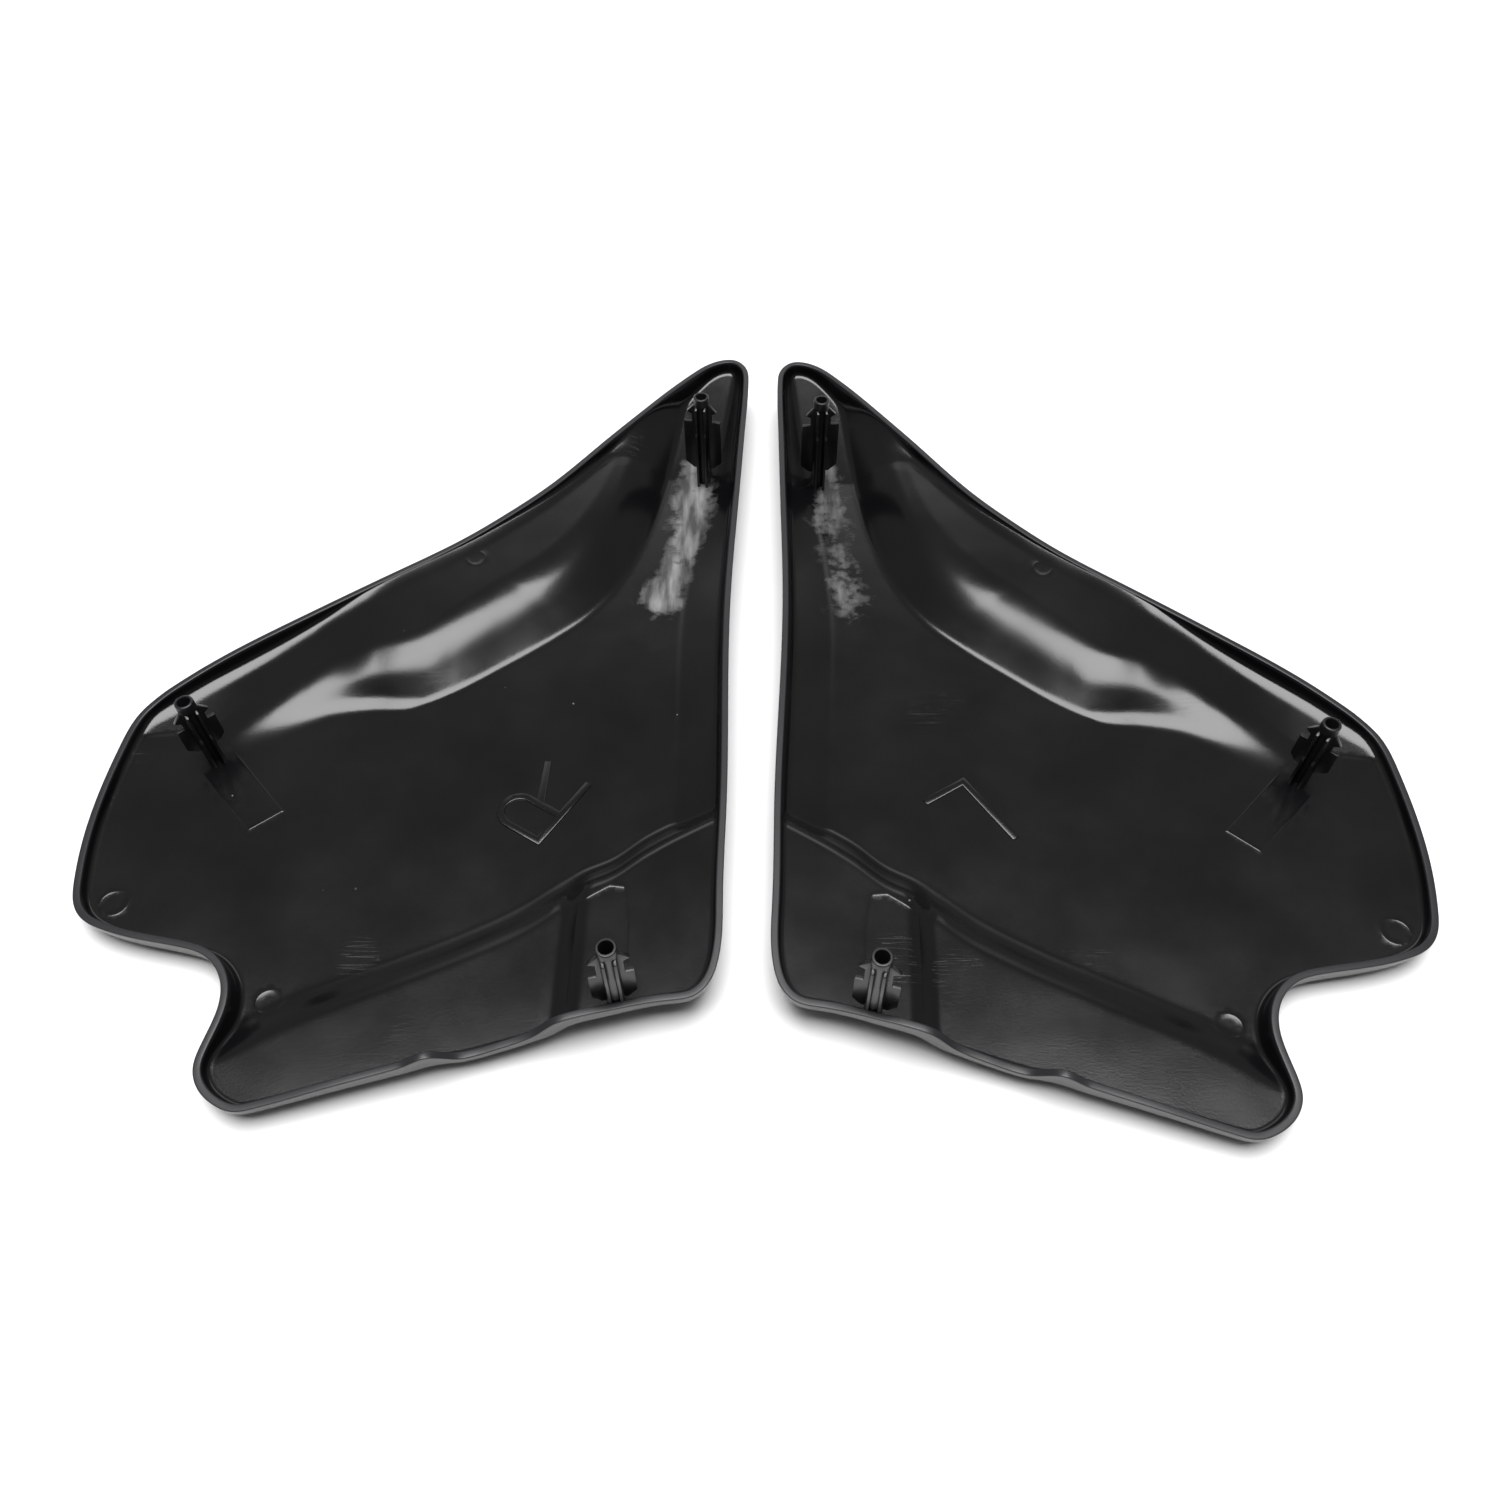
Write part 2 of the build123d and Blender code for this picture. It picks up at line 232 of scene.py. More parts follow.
def distance_to_path(x, y, path):
    """Distance of points to a broken line, and how far along it the nearest place is, from 0 to 1."""
    p = np.array(path, float)
    lengths = np.hypot(*np.diff(p, axis=0).T)
    starts = np.r_[0, np.cumsum(lengths)]
    best, where = np.full(np.shape(x), 1e9), np.zeros(np.shape(x))
    for (ax, ay), (bx, by), length, start in zip(p[:-1], p[1:], lengths, starts):
        t = np.clip(((x - ax) * (bx - ax) + (y - ay) * (by - ay)) / length ** 2, 0, 1)
        d = np.hypot(x - ax - t * (bx - ax), y - ay - t * (by - ay))
        where = np.where(d < best, (start + t * length) / starts[-1], where)
        best = np.minimum(best, d)
    return best, where


def relief(x, y):
    """Low raised hairlines where the mould's ejectors and lifters met its face."""
    h = np.zeros(np.shape(x))
    for cx, cy, r in ejector_marks:
        h = np.maximum(h, np.exp(-(((np.hypot(x - cx, y - cy) - r) / witness_width) ** 2)))
    for path in witness_lines:
        h = np.maximum(h, np.exp(-((distance_to_path(x, y, path)[0] / witness_width) ** 2)))
    return witness_height * h


def inner_face(x, y):
    return floor_height(x, y) + relief(x, y)


def smear(x, y):
    """1 in the middle of the patch of smeared plastic below the top post, 0 outside it."""
    d, t = distance_to_path(x, y, smear_line)
    return np.clip(1 + smear_core - d / along(smear_width, t), 0, 1)


# ---------------------------------------------------------------- the shell's mesh

def closed_spline(points, spacing):
    """Samples and unit tangents of the smooth closed curve through some points."""
    p = np.array(points, float)
    n, q = len(p), np.roll(p, -1, axis=0)
    h = np.linalg.norm(q - p, axis=1)
    a = np.zeros((n, n))
    for i in range(n):
        a[i, i - 1], a[i, i], a[i, (i + 1) % n] = h[i - 1], 2 * (h[i - 1] + h[i]), h[i]
    rise = (q - p) / h[:, None]
    bend = np.linalg.solve(a, 6 * (rise - np.roll(rise, 1, axis=0)))
    places, directions = [], []
    for i in range(n):
        j, count = (i + 1) % n, math.ceil(h[i] / spacing)
        s = (np.arange(count) / count)[:, None]
        r = 1 - s
        bow = (r ** 3 - r) * bend[i] + (s ** 3 - s) * bend[j]
        places.append(p[i] * r + p[j] * s + h[i] ** 2 / 6 * bow)
        directions.append(rise[i] + h[i] / 6 * ((1 - 3 * r ** 2) * bend[i] + (3 * s ** 2 - 1) * bend[j]))
    directions = np.concatenate(directions)
    return np.concatenate(places), directions / np.linalg.norm(directions, axis=1)[:, None]


def rounded(start, corner, end, steps):
    """Rings that round a corner of the rim's section, each an array of (inset, height)."""
    for t in np.linspace(0, 1, steps + 1):
        yield start * (1 - t) ** 2 + 2 * corner * t * (1 - t) + end * t * t


def rim_section(edge, inward):
    """Rings from the outer face, up the wall and over the rim to the inner face, and their masks."""
    lean = math.tan(math.radians(draft))
    top = rim_height(*edge.T)

    def at(inset, surface):
        return surface(*(edge + inward * inset[:, None]).T)

    def foot(offset, surface):
        inset = np.full(len(edge), offset)
        for _ in range(lean_passes):
            level = at(inset, surface)
            inset = offset + (top - level) * lean
        return np.c_[inset, level]

    def on(inset, surface):
        return np.c_[inset, at(inset, surface)]

    def pair(inset, level):
        return np.c_[inset + np.zeros(len(edge)), level]

    rings, masks = [], []

    def add(new, land, outside):
        for ring in new:
            rings.append(ring)
            masks.append((land, outside))

    base = foot(0.0, outer_face)
    radius = np.minimum(outer_radius, outer_share * (top - base[:, 1]))
    up = pair(base[:, 0] - radius * lean, base[:, 1] + radius)
    add(rounded(on(base[:, 0] + radius, outer_face), base, up, outer_steps), 0, 1)
    under = pair(rim_corner * lean, top - rim_corner)
    add((up + (under - up) * t for t in wall_levels), 0, 1)
    add(rounded(under, pair(0.0, top), pair(rim_corner, top), corner_steps), 1, 0)
    add([pair(rim / 2, top)], 1, 0)
    inner = pair(rim + rim_corner * lean, top - rim_corner)
    add(rounded(pair(rim - rim_corner, top), pair(rim, top), inner, corner_steps), 1, 0)

    toe = foot(rim, inner_face)
    upper = np.clip(-inward[:, 1], 0, 1) ** lip_bias * np.clip((lip_end - edge[:, 1]) / lip_fade, 0, 1)
    swell = np.minimum(lip_rise, lip_share * (top - toe[:, 1])) * upper
    reach = foot_width + lip_reach * upper
    toe = pair(toe[:, 0] - swell * lean, toe[:, 1] + swell)

    def swollen(inset):
        ring = on(inset, inner_face)
        left = np.clip(1 - (inset - toe[:, 0]) / reach, 0, 1)
        return pair(ring[:, 0], ring[:, 1] + swell * left ** 2)

    rise = np.clip(foot_share * (top - toe[:, 1]) - rim_corner, least_foot, foot_radius)
    high = pair(toe[:, 0] - rise * lean, toe[:, 1] + rise)
    add((inner + (high - inner) * t for t in inner_levels), 0, 0)
    low = toe[:, 0] + rise
    add(rounded(high, toe, swollen(low), foot_steps), 0, 0)
    add((swollen(low + (toe[:, 0] + reach - low) * t) for t in swell_levels), 0, 0)
    return rings, masks


def inside(points, ring):
    """Which points lie inside a closed ring."""
    x, y = points.T
    hit = np.zeros(len(points), bool)
    for (ax, ay), (bx, by) in zip(ring, np.roll(ring, -1, axis=0)):
        if ay != by:
            crosses = (ay > y) != (by > y)
            hit ^= crosses & (x < (bx - ax) * (y - ay) / (by - ay) + ax)
    return hit


def lattice(spacing, wanted):
    """Points of a triangular lattice over the cover: all where wanted, one in four elsewhere."""
    low, high = np.min(outline, axis=0), np.max(outline, axis=0)
    rows = int((high[1] - low[1]) / (spacing * math.sqrt(0.75))) + 1
    columns = int((high[0] - low[0] + (high[1] - low[1]) / 2) / spacing) + 2
    j, i = np.mgrid[0:rows, -rows // 2:columns]
    points = np.c_[low[0] + spacing * (i + j / 2).ravel(), low[1] + spacing * math.sqrt(0.75) * j.ravel()]
    sparse = ((i % 2 == 0) & (j % 2 == 0)).ravel()
    return points[wanted(*points.T) | sparse]


def curved(x, y):
    """True where the inner face bends sharply, or where the smeared patch needs its ripples."""
    e = bend_probe
    here = floor_height(x, y)
    xx = floor_height(x + e, y) + floor_height(x - e, y) - 2 * here
    yy = floor_height(x, y + e) + floor_height(x, y - e) - 2 * here
    xy = (floor_height(x + e, y + e) + floor_height(x - e, y - e)
          - floor_height(x + e, y - e) - floor_height(x - e, y + e)) / 4
    return (np.sqrt(xx ** 2 + yy ** 2 + 2 * xy ** 2) / e ** 2 > bend_limit) | (smear(x, y) > 0)


def hairline_points():
    """Rows of points along the witness lines and circles, so that their ridges keep their shape."""
    rows = []
    for cx, cy, r in ejector_marks:
        a = np.linspace(0, 2 * math.pi, circle_points, endpoint=False)
        rows += [np.c_[cx + (r + o) * np.cos(a), cy + (r + o) * np.sin(a)] for o in hairline_rows]
    for path in witness_lines:
        for a, b in zip(np.array(path[:-1], float), np.array(path[1:], float)):
            length = np.hypot(*(b - a))
            side = np.array([a[1] - b[1], b[0] - a[0]]) / length
            t = np.linspace(0, 1, max(2, int(length / hairline_spacing)), endpoint=False)[:, None]
            rows += [a + (b - a) * t + side * o for o in hairline_rows]
    return np.concatenate(rows)


def apart(points, others, gap):
    """Points that keep a gap from the others."""
    tree = KDTree(len(others))
    for k, (x, y) in enumerate(others):
        tree.insert((x, y, 0), k)
    tree.balance()
    return points[np.array([tree.find((x, y, 0))[2] > gap for x, y in points])]


def fill(ring, points):
    """The points inside a closed ring, and triangles. Corners below len(ring) are the ring's own."""
    points = points[inside(points, ring)]
    corners = [Vector(p) for p in np.concatenate([ring, points])]
    made, _, faces, origins, _, _ = delaunay_2d_cdt(corners, [], [list(range(len(ring)))], 1, 1e-6)
    if len(made) != len(corners):
        raise ValueError("the ring's points and the points inside it are too close together")
    source = [o[0] for o in origins]
    return points, [[source[v] for v in face] for face in faces]


def shell_mesh(name, to_frame, smear_strength):
    """The whole shell of a cover as one closed mesh."""
    edge, tangent = closed_spline(outline, ring_spacing)
    inward = np.c_[tangent[:, 1], -tangent[:, 0]]  # the outline runs clockwise
    rings, masks = rim_section(edge, inward)
    count = len(edge)
    places = [edge + inward * ring[:, :1] for ring in rings]
    verts = [np.c_[place, ring[:, 1]] for place, ring in zip(places, rings)]
    land = np.repeat([m[0] for m in masks], count)
    outside = np.repeat([m[1] for m in masks], count)
    faces = []
    i = np.arange(count)
    for k in range(len(rings) - 1):
        a, b = k * count + i, k * count + (i + 1) % count
        faces += np.c_[a, b, b + count, a + count].tolist()

    hairlines = apart(hairline_points(), places[-1], hairline_gap)
    hairlines = hairlines[inside(hairlines, places[-1])]
    over = apart(lattice(fine, curved), np.concatenate([places[-1], hairlines]), over_gap)
    over = np.concatenate([hairlines, over])
    sparse = lattice(coarse_under / 2, lambda x, y: np.zeros(np.shape(x), bool))
    under = apart(sparse, places[0], under_gap)
    for ring_start, ring, points, surface, out in (
        ((len(rings) - 1) * count, places[-1], over, inner_face, 0), (0, places[0], under, outer_face, 1),
    ):
        points, triangles = fill(ring, points)
        start = sum(len(v) for v in verts) - count
        faces += [[v + (ring_start if v < count else start) for v in t] for t in triangles]
        verts.append(np.c_[points, surface(*points.T)])
        land = np.r_[land, np.zeros(len(points))]
        outside = np.r_[outside, np.full(len(points), out)]
    verts = np.concatenate(verts)

    mesh = bpy.data.meshes.new(name)
    mesh.from_pydata(verts.tolist(), [], faces)
    smeared = smear_strength * smear(verts[:, 0], verts[:, 1]) * (1 - outside) * (1 - land)
    for label, values in (("land", land), ("outside", outside), ("smear", smeared)):
        mesh.attributes.new(label, "FLOAT", "POINT").data.foreach_set("value", np.asarray(values, float))
    mesh.transform(to_frame)
    outward_normals(mesh)
    mesh.shade_smooth()
    return bpy.data.objects.new(name, mesh)


def outward_normals(mesh):
    bm = bmesh.new()
    bm.from_mesh(mesh)
    bmesh.ops.recalc_face_normals(bm, faces=bm.faces)
    bm.to_mesh(mesh)
    bm.free()


# ---------------------------------------------------------------- the posts and the letters

def lathe(profile):
    """Closed solid of revolution about Z from (radius, height) points that start and end on the axis."""
    bm = bmesh.new()
    points = [bm.verts.new((r, 0, z)) for r, z in profile]
    edges = [bm.edges.new(pair) for pair in zip(points[:-1], points[1:])]
    bmesh.ops.spin(bm, geom=points + edges, axis=(0, 0, 1), cent=(0, 0, 0), angle=2 * math.pi,
                   steps=lathe_sides, use_merge=True)
    bmesh.ops.remove_doubles(bm, verts=bm.verts, dist=1e-4)
    bmesh.ops.recalc_face_normals(bm, faces=bm.faces)
    return bm


def plate(section, thickness, across, turn=0.0):
    """Flat plate with rounded edges: a section in X and Z, moved across Y and turned about Z."""
    bm = bmesh.new()
    front = bm.faces.new([bm.verts.new((x, across - thickness / 2, z)) for x, z in section])
    moved = bmesh.ops.extrude_face_region(bm, geom=[front])
    bmesh.ops.translate(bm, verts=[v for v in moved["geom"] if isinstance(v, bmesh.types.BMVert)],
                        vec=(0, thickness, 0))
    bmesh.ops.recalc_face_normals(bm, faces=bm.faces)
    bmesh.ops.bevel(bm, geom=list(bm.edges), offset=edge_round, segments=2, affect="EDGES", profile=0.5)
    bmesh.ops.rotate(bm, verts=bm.verts, matrix=Matrix.Rotation(turn, 3, "Z"))
    return bm


def as_object(bm, name):
    mesh = bpy.data.meshes.new(name)
    bm.to_mesh(mesh)
    bm.free()
    piece = bpy.data.objects.new(name, mesh)
    bpy.context.collection.objects.link(piece)
    return piece


def combine(piece, other, operation):
    """Joins or cuts a solid with another one, which is used up."""
    modifier = piece.modifiers.new(operation, "BOOLEAN")
    modifier.operation, modifier.object, modifier.solver = operation, other, "EXACT"
    graph = bpy.context.evaluated_depsgraph_get()
    result = bpy.data.meshes.new_from_object(piece.evaluated_get(graph))
    piece.modifiers.clear()
    piece.data = result
    bpy.data.objects.remove(other)


def tidy_faces(mesh):
    """Removes the faces without area that joining and cutting solids leaves behind."""
    bm = bmesh.new()
    bm.from_mesh(mesh)
    bmesh.ops.triangulate(bm, faces=bm.faces)
    bmesh.ops.remove_doubles(bm, verts=bm.verts, dist=speck_size)
    bmesh.ops.dissolve_degenerate(bm, dist=speck_size, edges=bm.edges)
    bm.to_mesh(mesh)
    bm.free()


def post_solid(name, foot, tip, shoulder_drop, fin_reach, fin_height, rib_foot_reach):
    """One push-in post, standing on the origin: bored tube with a collar, two barbed fins, four ribs."""
    length = tip - foot
    barb, shoulder, collar = length - barb_drop, length - shoulder_drop, length - plain_tip
    fin_foot = shoulder - fin_height
    half = [
        (neck_reach, fin_foot - fin_slant), (fin_reach, fin_foot), (fin_reach, shoulder),
        (neck_reach, shoulder), (neck_reach, barb - step_slant), (barb_reach, barb),
        (tube_r + 0.2, collar - 0.1),
    ]
    fins = half + [(-x, z) for x, z in reversed(half)]
    rib = [
        (rib_foot_reach, -root_sink), (rib_foot_reach, length - rib_foot_drop),
        (rib_reach, length - rib_foot_drop + step_slant), (rib_reach, collar - 0.8),
        (tube_r - 0.6, collar - 0.1),
    ]
    ribs = rib + [(-x, z) for x, z in reversed(rib)]
    c = tip_chamfer / 2
    tube = [
        (0, -root_sink), (tube_r, -root_sink), (tube_r, collar - 0.15), (tip_r - 0.1, collar),
        (tip_r, collar + 0.1), (tip_r, length - 2 * c), (tip_r - 0.4 * c, length - 0.8 * c),
        (tip_r - 1.2 * c, length - 0.1 * c), (tip_r - 2 * c, length), (0, length),
    ]
    bore = [
        (0, length - bore_depth), (bore_r * 0.9, length - bore_depth), (bore_r, length - 0.35),
        (bore_r + 0.1, length - 0.1), (bore_r + 0.3, length + 0.05), (bore_r + 0.3, length + 1),
        (0, length + 1),
    ]
    piece = as_object(lathe(tube), name)
    combine(piece, as_object(plate(fins, fin_thickness, 0), "fins"), "UNION")
    for across in (-rib_gap / 2, rib_gap / 2):
        rib_plate = plate(ribs, rib_thickness, -across, math.pi / 2)
        combine(piece, as_object(rib_plate, "rib"), "UNION")
    combine(piece, as_object(lathe(bore), "bore"), "DIFFERENCE")
    tidy_faces(piece.data)
    return piece


def soften(piece, angle=35.0):
    """Smooth shading except over the sharp edges."""
    piece.data.shade_smooth()
    piece.data.set_sharp_from_angle(angle=math.radians(angle))


def make_letter(node):
    """The raised letter with rounded edges: the CAD letter's own outline, its corners eased."""
    mesh = frame["nodes"][node].data.copy()
    bm = bmesh.new()
    bm.from_mesh(mesh)
    bmesh.ops.remove_doubles(bm, verts=bm.verts, dist=1e-6)
    bmesh.ops.dissolve_limit(bm, angle_limit=math.radians(2), verts=bm.verts, edges=bm.edges)
    top = max(v.co.z for v in bm.verts)
    rim_edges = [e for e in bm.edges if all(v.co.z > top - 1e-5 for v in e.verts)]
    bmesh.ops.bevel(bm, geom=rim_edges, offset=letter_round * MM, segments=3, affect="EDGES", profile=0.5,
                    clamp_overlap=True)
    bm.to_mesh(mesh)
    bm.free()
    mesh.materials.clear()
    return bpy.data.objects.new(node + "_letter", mesh)


# ---------------------------------------------------------------- materials

def node(tree, kind, inputs=None, **settings):
    made = tree.nodes.new(kind)
    for key, value in settings.items():
        setattr(made, key, value)
    for key, value in (inputs or {}).items():
        if isinstance(value, bpy.types.NodeSocket):
            tree.links.new(value, made.inputs[key])
        else:
            made.inputs[key].default_value = value
    return made


def math_node(tree, operation, a, b=0.0):
    return node(tree, "ShaderNodeMath", {0: a, 1: b}, operation=operation).outputs[0]


def plus(tree, first, *others):
    for other in others:
        first = math_node(tree, "ADD", first, other)
    return first


def times(tree, first, *others):
    for other in others:
        first = math_node(tree, "MULTIPLY", first, other)
    return first


def between(tree, value, low, high, to_low=0.0, to_high=1.0):
    return node(tree, "ShaderNodeMapRange", {
        "Value": value, "From Min": low, "From Max": high, "To Min": to_low, "To Max": to_high,
    }).outputs["Result"]


def noise(tree, place, scale, detail=3.0, roughness=0.5, distortion=0.0):
    return node(tree, "ShaderNodeTexNoise", {
        "Vector": place, "Scale": scale, "Detail": detail, "Roughness": roughness,
        "Distortion": distortion,
    }).outputs["Fac"]


def spread(tree, value, to_low, to_high):
    """Takes the middle range of a noise to a range of one's own."""
    return between(tree, value, 0.3, 0.7, to_low, to_high)


def stretched(tree, place, degrees, scale):
    """Coordinates turned about Z and stretched, for noises that run one way."""
    return node(tree, "ShaderNodeMapping", {
        "Vector": place, "Rotation": (0, 0, math.radians(degrees)), "Scale": scale,
    }).outputs["Vector"]


def bumped(tree, height, strength, distance, normal=None):
    inputs = {"Height": height, "Strength": strength, "Distance": distance}
    if normal is not None:
        inputs["Normal"] = normal
    return node(tree, "ShaderNodeBump", inputs).outputs["Normal"]


def dust(tree, place):
    """Specks of dust: a few of the cells hold one, each a soft dot of its own size."""
    cells = node(tree, "ShaderNodeTexVoronoi", {"Vector": place, "Scale": 62.0, "Randomness": 1.0})
    chosen = node(tree, "ShaderNodeSeparateColor", {"Color": cells.outputs["Color"]})
    dot = between(tree, cells.outputs["Distance"], 0.018, 0.034, 1.0, 0.0)
    return times(tree, dot, between(tree, chosen.outputs["Red"], 0.80, 0.82))


def scratches(tree, place):
    """Hairline scratches: thin ridges of a stretched noise, only in some places."""
    lines = noise(tree, stretched(tree, place, 28, (22, 560, 40)), 1.0, detail=1.0, distortion=0.35)
    off_ridge = math_node(tree, "ABSOLUTE", math_node(tree, "SUBTRACT", lines, 0.5))
    some = between(tree, noise(tree, place, 17.0, detail=2.0), 0.64, 0.72)
    return times(tree, between(tree, off_ridge, 0.0, 0.006, 1.0, 0.0), some)


def smear_patch(tree, place, smeared):
    """The smeared patch's ragged mask, and the streaks along its length."""
    rags = spread(tree, noise(tree, place, 120.0, detail=5.0, roughness=0.6), -0.45, 0.45)
    patch = times(tree, between(tree, plus(tree, smeared, rags), 0.30, 0.75),
                  between(tree, smeared, 0.0, 0.12))
    return patch, noise(tree, stretched(tree, place, -8, (230, 42, 90)), 1.0, detail=3.0)


def moulded_black(name, base, gloss):
    """Injection-moulded black plastic with dust, scratches and smears. Its gloss is a roughness."""
    material = bpy.data.materials.new(name)
    material.use_nodes = True
    tree = material.node_tree
    tree.nodes.clear()
    place = node(tree, "ShaderNodeTexCoord").outputs["Object"]
    land, outside, smeared = (
        node(tree, "ShaderNodeAttribute", attribute_name=label).outputs["Fac"]
        for label in ("land", "outside", "smear")
    )
    speck, scratch = dust(tree, place), scratches(tree, place)
    patch, streaks = smear_patch(tree, place, smeared)

    # colour: clouded and a little blue, paler where it is dusty, scratched or smeared, and a painted sheen
    # on the rim's top land
    clouds = spread(tree, noise(tree, place, 11.0, detail=4.0, roughness=0.6), base * 0.8, base * 1.25)
    # the dust and scratches are real marks; the rim's top land is painted paler, a painted sheen
    dust_scratches_and_rim_sheen = plus(tree, times(tree, speck, 0.11), times(tree, scratch, 0.004), times(tree, land, 0.010))
    grey = plus(tree, clouds, dust_scratches_and_rim_sheen)
    pale = times(tree, patch, smeared, between(tree, streaks, 0.36, 0.70, 0.04, 0.22))
    shade, blue = plus(tree, grey, pale), plus(tree, times(tree, grey, 1.14), pale)
    tint = node(tree, "ShaderNodeCombineColor", {"Red": shade, "Green": shade, "Blue": blue}).outputs[0]

    uneven = noise(tree, place, 23.0, detail=5.0, roughness=0.6)
    rough = plus(
        tree, spread(tree, uneven, gloss - 0.03, gloss + 0.04), times(tree, land, 0.20),
        times(tree, outside, 0.06), times(tree, speck, 0.4), times(tree, patch, 0.30),
    )

    # slow waves, fine orange peel, and the marks
    waves = bumped(tree, noise(tree, place, 34.0, detail=1.0), 0.10, 0.002)
    peel = bumped(tree, noise(tree, place, 1150.0, detail=2.0), 0.10, 0.0002, waves)
    ridges = plus(tree, times(tree, speck, 0.5), times(tree, patch, streaks, 0.5))
    marks = plus(tree, ridges, times(tree, scratch, -0.05))
    shader = node(tree, "ShaderNodeBsdfPrincipled", {
        "Base Color": tint, "Roughness": rough, "Normal": bumped(tree, marks, 0.6, 0.0005, peel),
        "IOR": 1.5, "Specular IOR Level": 0.5,
    })
    node(tree, "ShaderNodeOutputMaterial", {"Surface": shader.outputs[0]})
    return material


def plain_floor(name):
    """Pale studio paper with a trace of mottling."""
    material = bpy.data.materials.new(name)
    material.use_nodes = True
    tree = material.node_tree
    place = node(tree, "ShaderNodeTexCoord").outputs["Object"]
    tone = spread(tree, noise(tree, place, 3.0), 0.86, 0.88)
    colour = node(tree, "ShaderNodeCombineColor", {"Red": tone, "Green": tone, "Blue": tone}).outputs[0]
    shader = tree.nodes["Principled BSDF"]
    tree.links.new(colour, shader.inputs["Base Color"])
    shader.inputs["Roughness"].default_value = 0.9
    shader.inputs["Specular IOR Level"].default_value = 0.1
    return material


# ---------------------------------------------------------------- placing and joining to the frame

def mount_place(name):
    """Place of one of the record's mounts in the frame."""
    return Vector(next(m["pos_m"] for m in frame["record"]["mounts"] if m["name"] == name))


def cover_to_frame(side):
    """Transform from the right cover's drawing, in mm, to a cover in the frame, in metres."""
    flip = -1 if side == "left" else 1
    drawn = {name: Vector((flip * sizes[0], sizes[1], 0)) * MM for name, sizes in posts.items()}
    real = {name: Vector((*mount_place(f"{side}_{name}_tip")[:2], 0)) for name in posts}
    far, near = "top_post", "lower_post"
    a, b = drawn[far] - drawn[near], real[far] - real[near]
    turn = math.atan2(b.y, b.x) - math.atan2(a.y, a.x)
    rotation = Matrix.Rotation(turn, 4, "Z")
    shift = real[near] - rotation @ drawn[near]
    return Matrix.Translation(shift) @ rotation @ Matrix.Diagonal((flip * MM, MM, MM, 1))


def attach(piece, body, node_name, material):
    """Gives a piece its material, joins it to its body, and hides the CAD node that it replaces."""
    if piece.name not in bpy.context.collection.objects:
        bpy.context.collection.objects.link(piece)
    piece.data.materials.clear()
    piece.data.materials.append(material)
    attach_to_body(piece, body)
    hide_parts(node_name)


def make_covers():
    shell_finish = moulded_black("black_abs_inner", base=0.0032, gloss=0.18)
    # the posts are the shell's black plastic with a paler base colour, a painted sheen standing in for
    # their highlights
    post_finish_painted_sheen = moulded_black("black_abs_posts_painted_sheen", base=0.007, gloss=0.32)
    for side in ("right", "left"):
        body, to_frame = f"{side}_cover", cover_to_frame(side)
        shell = shell_mesh(f"{side}_moulded_shell", to_frame, smear_strength[side])
        attach(shell, body, f"{side}_shell", shell_finish)
        for name, (x, y, foot, tip, turn, *sizes) in posts.items():
            piece = post_solid(f"{side}_push_in_{name}", foot, tip, *sizes)
            stand = Matrix.Translation((x, y, foot)) @ Matrix.Rotation(math.radians(turn), 4, "Z")
            piece.data.transform(to_frame @ stand)
            outward_normals(piece.data)
            soften(piece)
            attach(piece, body, f"{side}_{name}", post_finish_painted_sheen)
        letter = make_letter(f"{side}_mark")
        outward_normals(letter.data)
        soften(letter)
        attach(letter, body, f"{side}_mark", shell_finish)


# ---------------------------------------------------------------- studio

camera_angles = (-0.34, 52.22, 0.43)  # azimuth, look down and roll, in degrees
camera_stand = (0.0014, -0.3728, 0.432)  # from the middle of the pair, at the level that it rests on
camera_sensor, camera_lens = 36.0, 28.8
box_place, box_size, box_radiance = (0.0, -0.10, 3.20), (2.60, 2.10), 10.0
front_glow, back_glow, wall_glow = 0.10, 0.20, 1.3  # of the room before and behind the pair, and its wall
floor_size, floor_drop = 6.0, 0.0004


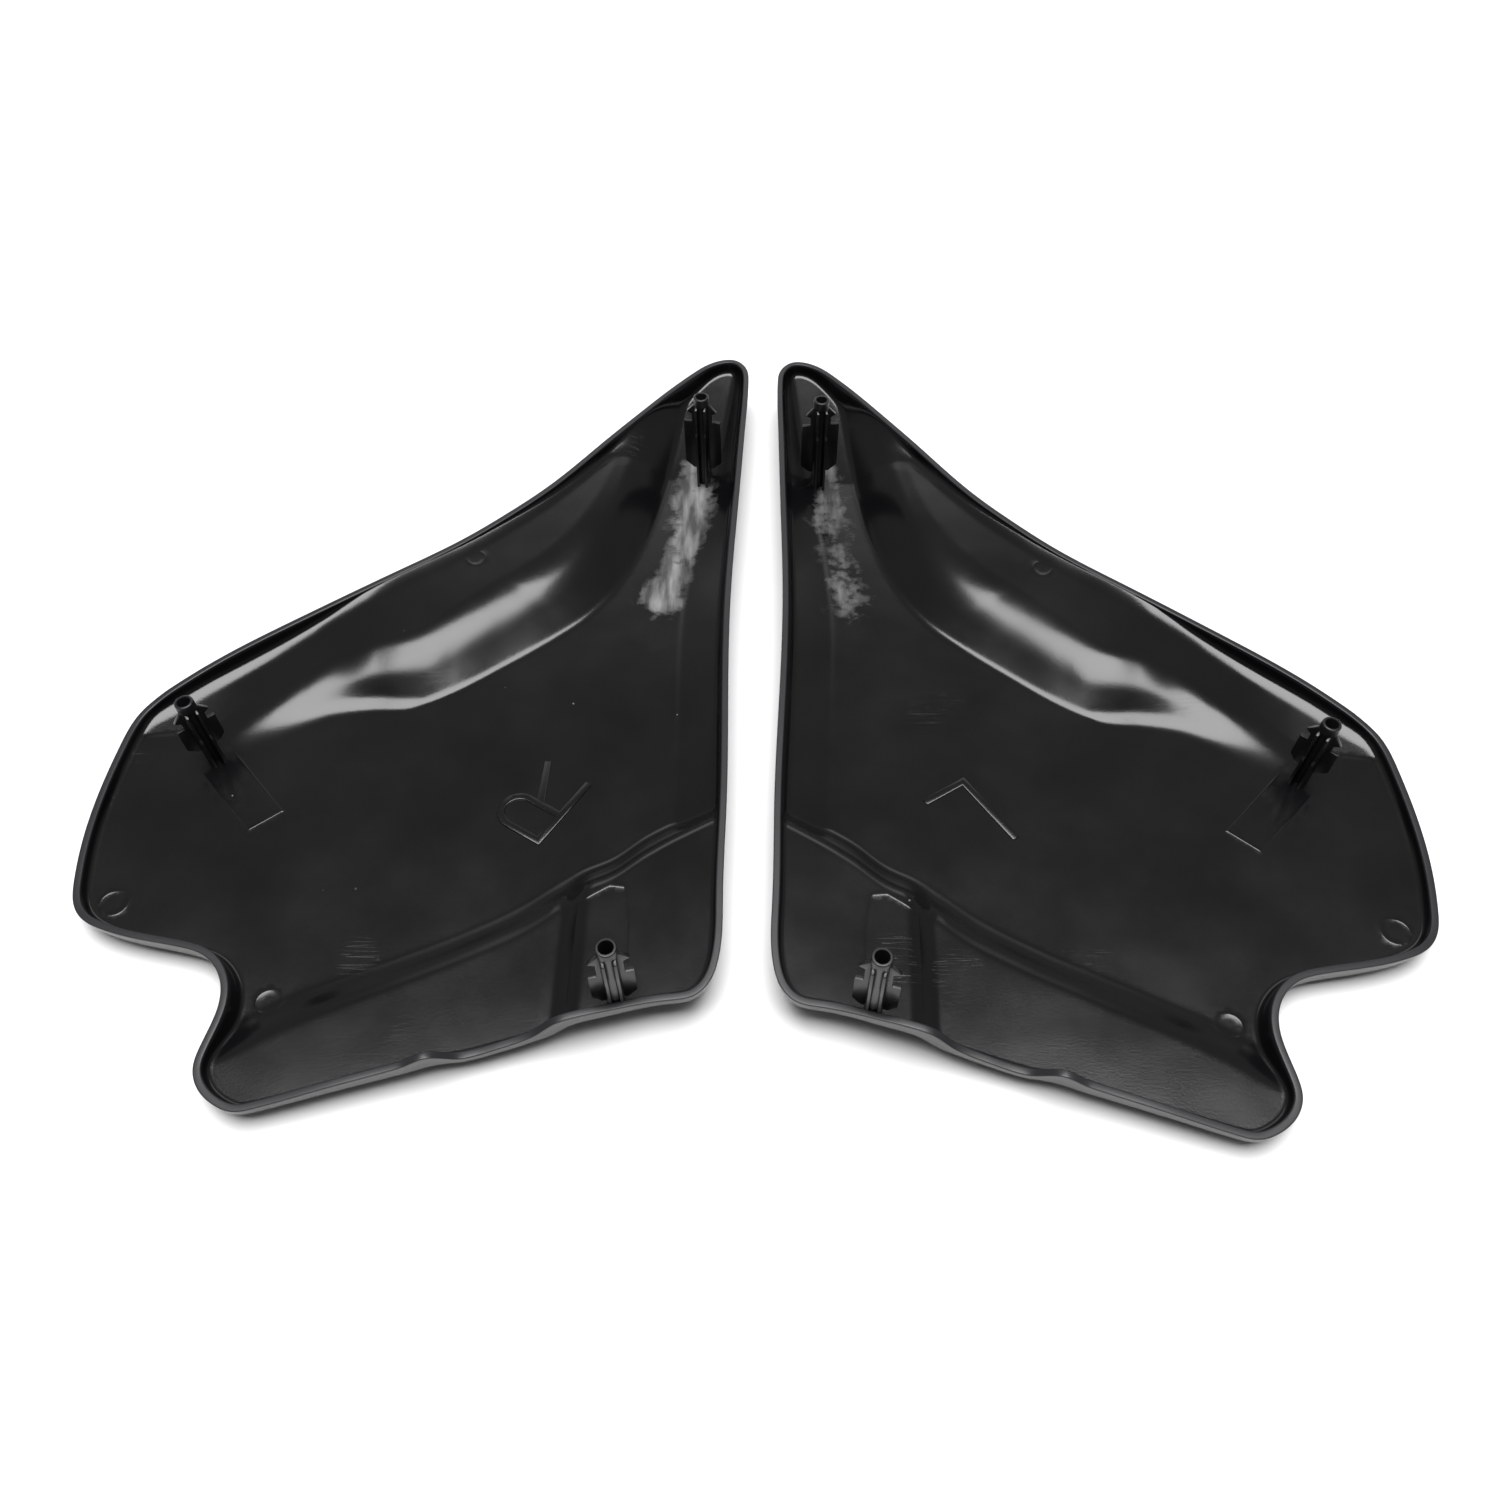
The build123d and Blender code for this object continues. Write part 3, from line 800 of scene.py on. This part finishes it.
def make_camera():
    """Stands in front of the lower edges and looks down at the pair."""
    azimuth, elevation, roll = (math.radians(a) for a in camera_angles)
    data = bpy.data.cameras.new("camera")
    data.sensor_width, data.lens = camera_sensor, camera_lens
    camera = bpy.data.objects.new("camera", data)
    bpy.context.collection.objects.link(camera)
    low, high = cad_box
    middle = (low + high) / 2
    camera.location = Vector((middle.x, middle.y, low.z)) + Vector(camera_stand)
    forward = Vector((math.sin(azimuth) * math.cos(elevation), math.cos(azimuth) * math.cos(elevation),
                      -math.sin(elevation)))
    tilt = Matrix.Rotation(-roll, 4, "Z").to_quaternion()
    camera.rotation_mode = "QUATERNION"
    camera.rotation_quaternion = forward.to_track_quat("-Z", "Y") @ tilt
    bpy.context.scene.camera = camera


def make_floor():
    bm = bmesh.new()
    bmesh.ops.create_grid(bm, x_segments=24, y_segments=24, size=floor_size)
    floor = as_object(bm, "studio_floor")
    floor.location.z = cad_box[0].z - floor_drop
    floor.data.materials.append(plain_floor("studio_paper"))


def make_overhead_box():
    """Rectangular soft box that hangs level over the pair and shines with an even radiance."""
    data = bpy.data.lights.new("overhead_box", "AREA")
    data.shape, data.size, data.size_y = "RECTANGLE", *box_size
    data.energy = box_radiance * math.pi * box_size[0] * box_size[1]
    light = bpy.data.objects.new("overhead_box", data)
    bpy.context.collection.objects.link(light)
    light.location = box_place
    light.rotation_mode = "QUATERNION"
    light.rotation_quaternion = Vector((0, 0, -1)).to_track_quat("-Z", "Y")


def make_room():
    """Dim surroundings with a pale wall behind the pair."""
    world = bpy.data.worlds.new("studio")
    bpy.context.scene.world = world
    world.use_nodes = True
    tree = world.node_tree
    tree.nodes.clear()
    direction = node(tree, "ShaderNodeTexCoord").outputs["Generated"]
    x, y, z = node(tree, "ShaderNodeSeparateXYZ", {"Vector": direction}).outputs
    # the wall is seen between two heights, and only straight behind
    wall = times(
        tree, between(tree, z, 0.30, 0.42), between(tree, z, 0.70, 0.56), between(tree, y, 0.35, 0.6),
        between(tree, math_node(tree, "ABSOLUTE", x), 0.42, 0.28), wall_glow,
    )
    strength = plus(tree, between(tree, y, -0.5, 0.1, front_glow, back_glow), wall)
    background = node(tree, "ShaderNodeBackground", {"Color": (1, 1, 1, 1), "Strength": strength})
    node(tree, "ShaderNodeOutputWorld", {"Surface": background.outputs[0]})
    bpy.context.scene.view_settings.view_transform = "Standard"


make_covers()
make_camera()
make_floor()
make_overhead_box()
make_room()
bpy.context.view_layer.update()
